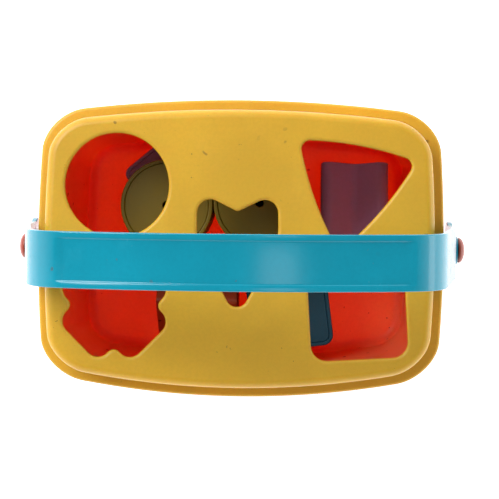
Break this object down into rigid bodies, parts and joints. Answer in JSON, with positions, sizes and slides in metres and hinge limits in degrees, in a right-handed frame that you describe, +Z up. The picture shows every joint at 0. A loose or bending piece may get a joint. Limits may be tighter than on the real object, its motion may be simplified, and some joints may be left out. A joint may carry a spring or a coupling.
{
  "type": "shape sorter",
  "caption": "Toy bucket with a lid cut with circle, triangle, square, cross and heart holes, a swinging carry handle, and hollow blocks that fit the holes.",
  "frame": {"origin": "centre of the bucket's foot, on the ground", "axes": "+Z up, +X along the long side of the lid and along the handle's swing axis"},
  "size_m": [0.2114, 0.138, 0.1944],
  "materials": {
    "bucket_plastic": "glossy moulded plastic with fine scuffs",
    "lid_plastic": "satin moulded plastic, slightly speckled with dirt",
    "handle_plastic": "glossy moulded plastic with fine scratches",
    "pin_plastic": "glossy moulded plastic",
    "green_plastic": "semi-gloss moulded plastic",
    "purple_plastic": "semi-gloss moulded plastic",
    "blue_plastic": "semi-gloss moulded plastic",
    "red_plastic": "semi-gloss moulded plastic"
  },
  "bodies": {
    "root": {"bucket": "bucket_plastic", "pivot_pin_left": "pin_plastic", "pivot_pin_right": "pin_plastic"},
    "lid": {"lid": "lid_plastic"},
    "handle": {"handle": "handle_plastic"},
    "circle_block_a": {"circle_block_a_shell": "green_plastic", "circle_block_a_cap": "green_plastic"},
    "circle_block_b": {"circle_block_b_shell": "green_plastic", "circle_block_b_cap": "green_plastic"},
    "cross_block": {"cross_block_shell": "purple_plastic", "cross_block_cap": "purple_plastic"},
    "heart_block_a": {"heart_block_a_shell": "purple_plastic", "heart_block_a_cap": "purple_plastic"},
    "heart_block_b": {"heart_block_b_shell": "purple_plastic", "heart_block_b_cap": "purple_plastic"},
    "square_block": {"square_block_shell": "blue_plastic", "square_block_cap": "blue_plastic"},
    "triangle_block": {"triangle_block_shell": "red_plastic", "triangle_block_cap": "red_plastic"}
  },
  "joints": [
    {"name": "handle_swing", "type": "hinge", "parent": "root", "child": "handle", "pos_m": [0, 0, 0.078], "axis": [1, 0, 0], "range_deg": [-128, 122]},
    {"name": "lid_lift", "type": "slide", "parent": "root", "child": "lid", "axis": [0, 0, 1], "range_m": [0, 0.01]},
    {"name": "cross_block_lift", "type": "slide", "parent": "root", "child": "cross_block", "axis": [0, 0, 1], "range_m": [0, 0.016]},
    {"name": "circle_block_a_lift", "type": "slide", "parent": "cross_block", "child": "circle_block_a", "axis": [0, 0, 1], "range_m": [0, 0.018]},
    {"name": "heart_block_b_lift", "type": "slide", "parent": "root", "child": "heart_block_b", "axis": [0, 0, 1], "range_m": [0, 0.016]},
    {"name": "circle_block_b_lift", "type": "slide", "parent": "heart_block_b", "child": "circle_block_b", "axis": [0, 0, 1], "range_m": [0, 0.018]},
    {"name": "heart_block_a_lift", "type": "slide", "parent": "root", "child": "heart_block_a", "axis": [0, 0, 1], "range_m": [0, 0.06]},
    {"name": "square_block_lift", "type": "slide", "parent": "root", "child": "square_block", "axis": [0, 0, 1], "range_m": [0, 0.06]},
    {"name": "triangle_block_lift", "type": "slide", "parent": "root", "child": "triangle_block", "axis": [0, 0, 1], "range_m": [0, 0.06]}
  ]
}
